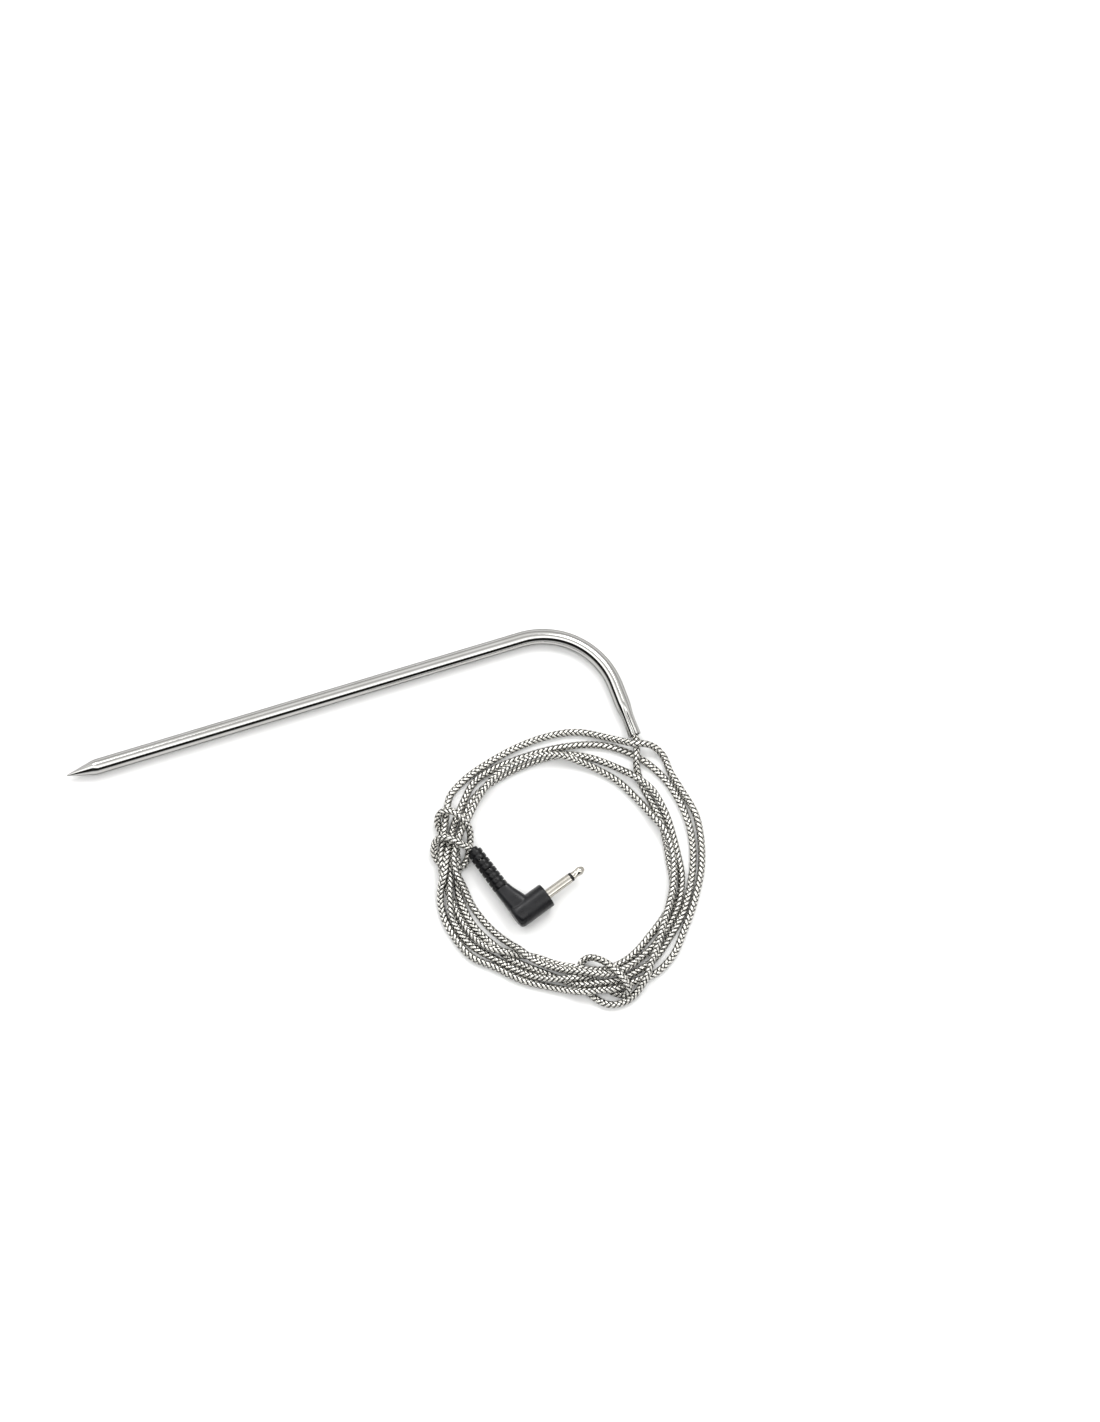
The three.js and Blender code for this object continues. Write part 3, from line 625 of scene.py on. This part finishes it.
def braid_height(around, along):
    """Height of the braid's surface, from 0 in the gaps to 1 on top of a bundle."""
    a = around - along
    b = around + along
    i, j = np.round(a), np.round(b)
    sway = 1 - BUNDLE_CROWN
    rise = sway * np.cos(np.pi / 2 * (b + i - 0.5))
    fall = -sway * np.cos(np.pi / 2 * (a + j - 0.5))
    crown_a = BUNDLE_CROWN * np.sqrt(np.maximum(1 - ((a - i) / BUNDLE_WIDTH) ** 2, 0))
    crown_b = BUNDLE_CROWN * np.sqrt(np.maximum(1 - ((b - j) / BUNDLE_WIDTH) ** 2, 0))
    return np.clip(np.maximum(crown_a + rise, crown_b + fall), 0, 1)


def add_cable(route):
    """Braided cable along the route, and its centreline."""
    line = spline(route, BRAID_PITCH / BRAID_RINGS)
    tangents, normals = spin_frames(line)
    sides = np.cross(tangents, normals)
    run = np.concatenate([[0], np.cumsum(np.linalg.norm(np.diff(line, axis=0), axis=1))])
    turn = np.arange(BRAID_SIDES) / BRAID_SIDES
    height = braid_height(turn[None] * BRAID_CARRIERS, run[:, None] / BRAID_PITCH)
    radius = (CABLE_RADIUS - BRAID_DEPTH * (1 - height))[:, :, None]
    angle = 2 * np.pi * (turn[None] + run[:, None] / BRAID_TWIST)[:, :, None]
    out = np.cos(angle) * normals[:, None] + np.sin(angle) * sides[:, None]
    vertices = (line[:, None] + out * radius).reshape(-1, 3)
    rings = len(line)
    faces = ring_faces(rings, BRAID_SIDES) + end_faces(rings, BRAID_SIDES)
    uvs = tube_uvs(rings, BRAID_SIDES, run, caps=2 * BRAID_SIDES)
    cable = new_piece("cable", vertices, faces, braided_steel(), uvs=uvs)
    flip_if_inside_out(cable)
    return cable, line


def flip_if_inside_out(piece):
    """Turns the faces outwards when the closed mesh has them all inwards."""
    bm = bmesh.new()
    bm.from_mesh(piece.data)
    if bm.calc_volume(signed=True) < 0:
        bmesh.ops.reverse_faces(bm, faces=bm.faces)
        bm.to_mesh(piece.data)
    bm.free()


# ---- The probe ---------------------------------------------------------------------------------

CONE_LENGTH = 8.0
LAND_LENGTH = 1.2
SPIGOT_LENGTH = 4.0
NOSE_RADIUS = 0.2
JOINT = 0.02                                   # hairline between the tip and the tube
TUBE_SIDES = 96
INSIDE_UV_SHIFT = 300.0                        # so that the inside has a pattern of its own
CRIMP_LENGTH = 9.0
CRIMP_WAIST = 4.7                              # from the cut end to the tightest place
CRIMP_DEPTH = 0.33
CRIMP_FLARE = 0.06
CRIMP_GROOVES = 4
CRIMP_GROOVE_DEPTH = 0.3
CRIMP_PARALLEL = 1.2                           # from the tightest place to the start of the flare
SPIGOT_GAP = 0.1                               # all round, between the tip's spigot and the tube
TIP_BORE = 1.02
TIP_BORE_END = 6.2
TIP_DRILL_POINT = 5.4


def smoothstep(value, low, high):
    """0 up to low, 1 from high on, and a smooth step in between."""
    t = np.clip((value - low) / (high - low), 0, 1)
    return t * t * (3 - 2 * t)


def crimp_depth(s, angle):
    """How far the crimp presses the wall in, at distance s along the arm and an angle round it."""
    waist = ARM_LENGTH - CRIMP_WAIST
    squeeze = smoothstep(s, ARM_LENGTH - CRIMP_LENGTH, waist)
    flare = smoothstep(s, waist + CRIMP_PARALLEL, ARM_LENGTH)
    groove = CRIMP_GROOVE_DEPTH * np.maximum(np.cos(CRIMP_GROOVES * angle), 0) ** 2.5
    ripple = 0.005 * np.sin(s * 8.0) * smoothstep(np.cos(angle - 0.5), 0.5, 0.95)
    return squeeze * (CRIMP_DEPTH + groove + ripple) - flare * CRIMP_FLARE


def tube_shell(stations, radius):
    """One ring of vertices round the tube's axis for each station, with the crimp pressed in."""
    angle = np.arange(TUBE_SIDES) / TUBE_SIDES * 2 * math.pi
    up = np.array([0.0, 0.0, 1.0])
    rings = []
    for s in stations:
        middle, direction = probe_line(s)
        side = np.array(direction.cross(Vector((0, 0, 1))))
        r = radius - crimp_depth(s - BEND_END, angle)
        out = np.cos(angle)[:, None] * side + np.sin(angle)[:, None] * up
        rings.append(np.array(middle) + r[:, None] * out)
    return np.array(rings)


def add_probe_tube():
    start = CONE_LENGTH + LAND_LENGTH + JOINT
    crimp_start = PROBE_END - CRIMP_LENGTH
    stations = np.concatenate([
        np.linspace(start, LEG_LENGTH, 42),
        np.linspace(LEG_LENGTH, BEND_END, 64)[1:],
        np.linspace(BEND_END, crimp_start, 5)[1:],
        np.linspace(crimp_start, PROBE_END - 0.06, 70)[1:],
        [PROBE_END],
    ])
    outer = tube_shell(stations, TUBE_RADIUS)
    inner = tube_shell(stations, TUBE_RADIUS - TUBE_WALL)
    outer[-1] += (inner[-1] - outer[-1]) * 0.12
    rng = np.random.default_rng(3)
    burrs = np.repeat(rng.normal(0, 0.05, TUBE_SIDES // 4), 4)
    direction = np.array(probe_line(PROBE_END)[1])
    outer[-1] += direction * burrs[:, None]
    inner[-1] += direction * burrs[:, None]
    loop = np.concatenate([outer, inner[::-1]])
    along = np.concatenate([stations, stations[::-1] + INSIDE_UV_SHIFT])
    faces = ring_faces(len(loop), TUBE_SIDES, closed=True)
    uvs = tube_uvs(len(loop), TUBE_SIDES, along, caps=4 * TUBE_SIDES)
    tube = new_piece("tube", loop.reshape(-1, 3), faces, polished_steel(), uvs=uvs)
    clean(tube, math.radians(40))
    return tube


def on_tube(x):
    """Point of the leg's axis at a distance from the tip."""
    return Vector((x, 0, TUBE_RADIUS)) - ORIGIN


def add_probe_tip():
    shoulder = CONE_LENGTH + LAND_LENGTH
    rear = shoulder + SPIGOT_LENGTH
    spigot = TUBE_RADIUS - TUBE_WALL - SPIGOT_GAP
    nose = [(NOSE_RADIUS * (1 - math.cos(a)), NOSE_RADIUS * math.sin(a)) for a in np.linspace(0, 1.3, 7)]
    flank = rounded([nose[-1], (CONE_LENGTH * 0.95, TUBE_RADIUS), (shoulder - 0.1, TUBE_RADIUS)], 1.2, 16)
    back = [
        (shoulder, TUBE_RADIUS), (shoulder, spigot), (rear, spigot), (rear, TIP_BORE),
        (TIP_BORE_END, TIP_BORE), (TIP_DRILL_POINT, 0.0),
    ]
    profile = nose[:-1] + flank + back
    return turned_piece("tip", profile, TUBE_SIDES, tip_steel(), Matrix.Translation(on_tube(0)))


# ---- The plug ----------------------------------------------------------------------------------

BARREL_LENGTH = 10.5
BARREL_FRONT_EDGE = 0.3
BARREL_REAR_EDGE = 1.9
ARM_HALF_WIDTH = 3.05
ARM_NARROWING = 0.98                           # what the half width loses towards the strain relief
ARM_HALF_THICKNESS = 2.75
ARM_THINNING = 0.62                            # what the half thickness loses
ARM_SQUARENESS = 3.2                           # power of its section: 2 is an oval, more is squarer
BODY_WALL = 0.65
BODY_VOXEL = 0.14                              # what the body's skin is rebuilt from
BOOT_ROOT_RADIUS = 2.1
BOOT_MOUTH_RADIUS = 2.0
COLLAR_RADIUS = 1.35
BOOT_RIBS = 8
BOOT_RIB_SHARE = 0.8                           # of a rib's pitch that is the rib
BOOT_RIB_EDGE = 0.2
BOOT_CORE_RADIUS = 1.7
BOOT_ROOT_LENGTH = 2.4                         # what is set into the arm
BOOT_STEM_RADIUS = 1.5                         # of that length
WINDOW_HALF_WIDTH = 0.8
PIN_RADIUS = 1.25
PIN_LENGTH = 11.8
SLEEVE_END = 7.4
RING_LENGTH = 0.6
SLEEVE_BORE = 0.78
CONTACT_REAR = -5.2
FLANGE_REAR = -2.4
FLANGE_FRONT = -1.5
FLANGE_RADIUS = 1.95
PIN_GAP = 0.06                                 # all round, between the pin and the body
CABLE_GAP = 0.15                               # all round, between the cable and the body
SOCKET_RADIUS = 1.6                            # of the arm's socket for the strain relief
SOCKET_LENGTH = 2.6


def plug_place():
    middle = PLUG_FACE + Vector((0, 0, BARREL_RADIUS))
    return Matrix.Translation(middle) @ Matrix.Rotation(PLUG_TURN, 4, "Z")


def boot_place():
    """Frame of the strain relief: x along it, away from the plug, from the plug's own y = 0."""
    return plug_place() @ Matrix.Translation((BOOT_X, 0, 0)) @ Matrix.Rotation(math.radians(90), 4, "Z")


def arm_mesh(material):
    """Rounded arm from inside the barrel to the strain relief, straight along its outer side."""
    rings, sides = 30, 48
    a = np.arange(sides) / sides * 2 * math.pi
    squareness = 2 / ARM_SQUARENESS
    points = []
    for y in np.linspace(-0.5, BOOT_START - 0.15, rings):
        taper = smoothstep(np.array(y), 1.5, BOOT_START + 0.5)
        half = ARM_HALF_WIDTH - ARM_NARROWING * float(taper)
        thick = ARM_HALF_THICKNESS - ARM_THINNING * float(smoothstep(np.array(y), 2.0, BOOT_START))
        x = half - BARREL_LENGTH + half * np.sign(np.cos(a)) * np.abs(np.cos(a)) ** squareness
        z = thick * np.sign(np.sin(a)) * np.abs(np.sin(a)) ** squareness
        points += [plug_place() @ Vector((px, y, pz)) for px, pz in zip(x, z)]
    arm = new_piece("arm", points, ring_faces(rings, sides) + end_faces(rings, sides), material)
    clean(arm, math.radians(60))
    return arm


def rod(start, end, radius):
    """Outline of a plain rod, for turned_piece."""
    return [(start, 0), (start, radius), (end, radius), (end, 0)]


def add_plug_body():
    """Hollow body: barrel and arm as one skin, with holes for the pin, the cable and the strain relief."""
    skin = moulded_pvc("plug_moulding", (0.0055, 0.0056, 0.007), 0.3, 9.0, 0.28)
    rear_outline = [(-BARREL_LENGTH, 0), (-BARREL_LENGTH, BARREL_RADIUS), (-5, BARREL_RADIUS)]
    front_outline = [(-4, BARREL_RADIUS), (0, BARREL_RADIUS), (0, 0)]
    rear = rounded(rear_outline, BARREL_REAR_EDGE, 10)
    front = rounded(front_outline, BARREL_FRONT_EDGE, 4)
    body = turned_piece("plug", rear + front[1:], 96, skin, plug_place())
    arm = arm_mesh(skin)
    carve(body, arm, "UNION")
    remesh = body.modifiers.new("skin", "REMESH")
    remesh.mode = "VOXEL"
    remesh.voxel_size = BODY_VOXEL * MM
    smooth = body.modifiers.new("ease", "SMOOTH")
    smooth.factor = 0.5
    smooth.iterations = 5
    apply_modifiers(body)
    hollow = rod(-BARREL_LENGTH + BODY_WALL, -BODY_WALL, BARREL_RADIUS - BODY_WALL)
    carve(body, turned_piece("cut_hollow", hollow, 48, skin, plug_place()))
    hole = rod(-1, 1, PIN_RADIUS + PIN_GAP)
    carve(body, turned_piece("cut_hole", hole, 64, skin, plug_place()))
    bore = rod(1, BOOT_START + 1, CABLE_RADIUS + CABLE_GAP)
    carve(body, turned_piece("cut_bore", bore, 40, skin, boot_place()))
    socket = rod(BOOT_START - SOCKET_LENGTH, BOOT_START + 1, SOCKET_RADIUS)
    carve(body, turned_piece("cut_socket", socket, 40, skin, boot_place()))
    body.data.materials.clear()
    body.data.materials.append(skin)
    body.data.polygons.foreach_set("use_smooth", [True] * len(body.data.polygons))
    clean(body, math.radians(40))
    return body


def add_strain_relief():
    """Ribbed sleeve over the cable, with windows between its ribs and a plain collar at its mouth."""
    skin = moulded_pvc("relief_moulding", (0.003, 0.0031, 0.0037), 0.28, 7.0, 0.25)
    pitch = BOOT_LENGTH / BOOT_RIBS
    rib = BOOT_RIB_SHARE * pitch
    edge = BOOT_RIB_EDGE
    bore = CABLE_RADIUS + 0.1
    root = BOOT_START - BOOT_ROOT_LENGTH
    outside = [(root, BOOT_STEM_RADIUS), (BOOT_START, BOOT_STEM_RADIUS)]
    for i in range(BOOT_RIBS):
        y = BOOT_START + i * pitch
        radius = BOOT_ROOT_RADIUS + (BOOT_MOUTH_RADIUS - BOOT_ROOT_RADIUS) * i / (BOOT_RIBS - 1)
        bulge = [(y + rib / 2 - rib / 2 * math.cos(a), radius - edge + edge * math.sin(a) ** 0.5)
                 for a in np.linspace(0.03, math.pi - 0.03, 13)]
        if i > 0:
            outside.append((y, BOOT_CORE_RADIUS))
        outside += bulge
        if i < BOOT_RIBS - 1:
            outside.append((y + rib, BOOT_CORE_RADIUS))
    end = BOOT_START + (BOOT_RIBS - 1) * pitch + rib
    mouth = BOOT_START + BOOT_LENGTH + COLLAR_LENGTH
    outside += [(end, COLLAR_RADIUS), (mouth - 0.15, COLLAR_RADIUS), (mouth, COLLAR_RADIUS - 0.12)]
    profile = [(root, bore)] + outside + [(mouth, bore), (root, bore)]
    relief = turned_piece("boot", profile, 64, skin, boot_place())
    for i in range(2, BOOT_RIBS - 1):
        y0 = BOOT_START + i * pitch + rib + 0.02
        y1 = BOOT_START + (i + 1) * pitch - 0.02
        carve(relief, window_cutter(y0, y1, i % 2 == 0, skin))
    clean(relief, math.radians(35))
    relief.data.materials.clear()
    relief.data.materials.append(skin)
    return relief


def window_cutter(x0, x1, sideways, material):
    """Cutter for one pair of windows, through the relief from side to side or from top to bottom."""
    far = 3.0
    y, z = (far, WINDOW_HALF_WIDTH) if sideways else (WINDOW_HALF_WIDTH, far)
    corners = [(x, sy * y, sz * z) for x in (x0, x1) for sy, sz in ((-1, -1), (1, -1), (1, 1), (-1, 1))]
    points = [boot_place() @ Vector(c) for c in corners]
    faces = ring_faces(2, 4) + [[0, 1, 2, 3], [7, 6, 5, 4]]
    cutter = new_piece("cut_window", points, faces, material, smooth=False)
    clean(cutter, 0.1)
    return cutter


def add_pin():
    """The jack's two contacts and the insulator between them, each turned."""
    plate = nickel_plate()
    black = moulded_pvc("insulator_moulding", (0.003, 0.003, 0.0035), 0.35, 6.0, 0.3)
    bore = SLEEVE_BORE
    rear = CONTACT_REAR
    sleeve = rounded([
        (rear, bore), (rear, PIN_RADIUS), (FLANGE_REAR, PIN_RADIUS), (FLANGE_REAR, FLANGE_RADIUS),
        (FLANGE_FRONT, FLANGE_RADIUS), (FLANGE_FRONT, PIN_RADIUS), (SLEEVE_END, PIN_RADIUS),
        (SLEEVE_END, bore),
    ], 0.1, 3) + [(rear, bore)]
    ring = SLEEVE_END + 0.02
    ring_end = ring + RING_LENGTH
    insulator = [
        (rear, 0.48), (rear, 0.68), (ring, 0.68), (ring, PIN_RADIUS - 0.05), (ring_end, PIN_RADIUS - 0.05),
        (ring_end, 0.48), (rear, 0.48),
    ]
    start = ring_end + 0.03
    tip = [(-7.2, 0), (-7.2, 0.38), (start, 0.38)] + rounded([
        (start, 0.5), (start, 1.08), (start + 0.8, 0.95), (start + 1.5, 0.95), (start + 2.2, 1.14),
        (start + 2.6, 1.14), (PIN_LENGTH - 0.25, 0.65), (PIN_LENGTH, 0.3), (PIN_LENGTH, 0),
    ], 0.3, 6)
    return (
        turned_piece("sleeve_contact", sleeve, 72, plate, plug_place()),
        turned_piece("insulator", insulator, 72, black, plug_place()),
        turned_piece("tip_contact", tip, 72, plate, plug_place()),
    )


# ---- Stage -------------------------------------------------------------------------------------

# Brightness of the surround round the level line halfway between leg and arm, by share of a turn.
SKY_STOPS = [
    (0.00, 1.2), (0.20, 1.2), (0.25, 0.75), (0.30, 0.8), (0.345, 1.0), (0.385, 1.6), (0.412, 1.75),
    (0.44, 1.2), (0.466, 0.8), (0.489, 1.3), (0.512, 2.2), (0.525, 3.0), (0.562, 3.0), (0.576, 0.02),
    (0.675, 0.02), (0.70, 0.9), (0.75, 1.4), (0.80, 1.2), (1.00, 1.2),
]
SKY_ACROSS = (-0.707, -0.707, 0)               # level direction at right angles to that line
SKY_STRENGTH = 0.9


def add_sky():
    """Studio surround: a bright tent with one dark gap, as polished metal needs to show its shape."""
    world = bpy.data.worlds.new("studio")
    bpy.context.scene.world = world
    world.use_nodes = True
    nodes, links = world.node_tree.nodes, world.node_tree.links
    where = nodes.new("ShaderNodeTexCoord")
    tilt = nodes.new("ShaderNodeVectorMath")
    tilt.operation = "DOT_PRODUCT"
    tilt.inputs[1].default_value = SKY_ACROSS
    links.new(where.outputs["Generated"], tilt.inputs[0])
    split = nodes.new("ShaderNodeSeparateXYZ")
    links.new(where.outputs["Generated"], split.inputs[0])
    angle = nodes.new("ShaderNodeMath")
    angle.operation = "ARCTAN2"
    links.new(tilt.outputs["Value"], angle.inputs[0])
    links.new(split.outputs[2], angle.inputs[1])
    share = nodes.new("ShaderNodeMapRange")
    share.inputs["From Min"].default_value = -math.pi
    share.inputs["From Max"].default_value = math.pi
    links.new(angle.outputs[0], share.inputs["Value"])
    curve = nodes.new("ShaderNodeValToRGB")
    elements = curve.color_ramp.elements
    while len(elements) > 1:
        elements.remove(elements[-1])
    for k, (at, value) in enumerate(SKY_STOPS):
        stop = elements[0] if k == 0 else elements.new(at)
        stop.position = at
        stop.color = (value, value, value * 0.99, 1)
    links.new(share.outputs["Result"], curve.inputs["Fac"])
    background = nodes["Background"]
    links.new(curve.outputs["Color"], background.inputs["Color"])
    background.inputs["Strength"].default_value = SKY_STRENGTH


LIT_PLACE = Vector((0.02, 0, 0))


def add_softbox(name, place, size, power):
    """Square lamp at a place, in metres, that points at the part."""
    data = bpy.data.lights.new(name, "AREA")
    data.shape = "SQUARE"
    data.size = size
    data.energy = power
    light = bpy.data.objects.new(name, data)
    light.location = place
    light.rotation_euler = (LIT_PLACE - Vector(place)).to_track_quat("-Z", "Y").to_euler()
    bpy.context.scene.collection.objects.link(light)


def add_floor():
    """Pale floor, wide enough to reach past every view."""
    look = Look("floor", (0.88, 0.88, 0.88), 0.0, 0.9)
    mottle = look.noise(look.place(), 3.0, 2.0)
    look.color(look.mix(mottle, (0.89, 0.89, 0.89), (0.87, 0.87, 0.87)))
    look.shader.inputs["Specular IOR Level"].default_value = 0.1
    half = 3000.0
    corners = [(-half, -half, 0), (half, -half, 0), (half, half, 0), (-half, half, 0)]
    floor = new_piece("floor", corners, [[0, 1, 2, 3]], look.material, smooth=False)


# ---- Assembly ----------------------------------------------------------------------------------

add_camera()
route = even(settle(spline(cable_knots(), ROUTE_STEP)), ROUTE_STEP)
cable, centreline = add_cable(route)
tube = add_probe_tube()
tip = add_probe_tip()
plug = add_plug_body()
relief = add_strain_relief()
sleeve_contact, insulator, tip_contact = add_pin()

for piece, slot, nodes in (
    (cable, "braided_steel", ("cable_lead", "cable_coil", "cable_tail")),
    (tube, "polished_steel", ("probe_tube",)),
    (tip, "polished_steel", ("probe_tip",)),
    (plug, "black_moulding", ("plug_body",)),
    (relief, "black_relief", ("strain_relief",)),
    (sleeve_contact, "nickel", ("jack_sleeve",)),
    (insulator, "black_insulator", ("jack_insulator",)),
    (tip_contact, "nickel", ("jack_tip",)),
):
    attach(piece, BODY)
    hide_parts(*nodes)

INNER_LOOKS = {
    ("thermistor_bead",): inner_look("bead_glass", (0.08, 0.15, 0.11), 0.0, 0.12, 0.4),
    ("thermistor_potting",): inner_look("potting_ceramic", (0.7, 0.67, 0.62), 0.0, 0.8, 0.3),
    ("thermistor_lead_a", "thermistor_lead_b", "splice_ferrule_a", "splice_ferrule_b"): inner_look(
        "tinned_copper", (0.55, 0.52, 0.47), 1.0, 0.35, 0.25),
    ("lead_sleeve_a", "lead_sleeve_b", "splice_sleeve"): woven_sleeve(),
    ("core_a", "plug_core_a"): inner_look("core_red", (0.42, 0.035, 0.02), 0.0, 0.4, 0.8),
    ("core_b", "plug_core_b"): inner_look("core_white", (0.78, 0.75, 0.68), 0.0, 0.4, 0.8),
    ("plug_premould",): inner_look("natural_nylon", (0.66, 0.62, 0.5), 0.0, 0.5, 0.6),
    ("jack_washer",): inner_look("washer_black", (0.01, 0.01, 0.01), 0.0, 0.45, 0.3),
    ("sleeve_terminal", "tip_terminal"): inner_look("terminal_brass", (0.58, 0.37, 0.12), 1.0, 0.28, 0.5),
    ("solder_joint_a", "solder_joint_b"): inner_look("solder", (0.5, 0.51, 0.52), 1.0, 0.3, 0.3),
}
for names, material in INNER_LOOKS.items():
    for name in names:
        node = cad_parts[name]
        node.data.materials.clear()
        node.data.materials.append(material)

probe_exit = probe_line(PROBE_END - CRIMPED_CABLE)[0] * MM

add_sky()
add_softbox("key", place=(0.65, 0.62, 1.15), size=0.6, power=8)
add_softbox("side", place=(-0.25, 0.75, 0.85), size=0.35, power=3)
add_floor()
bpy.context.scene.view_settings.view_transform = "Standard"
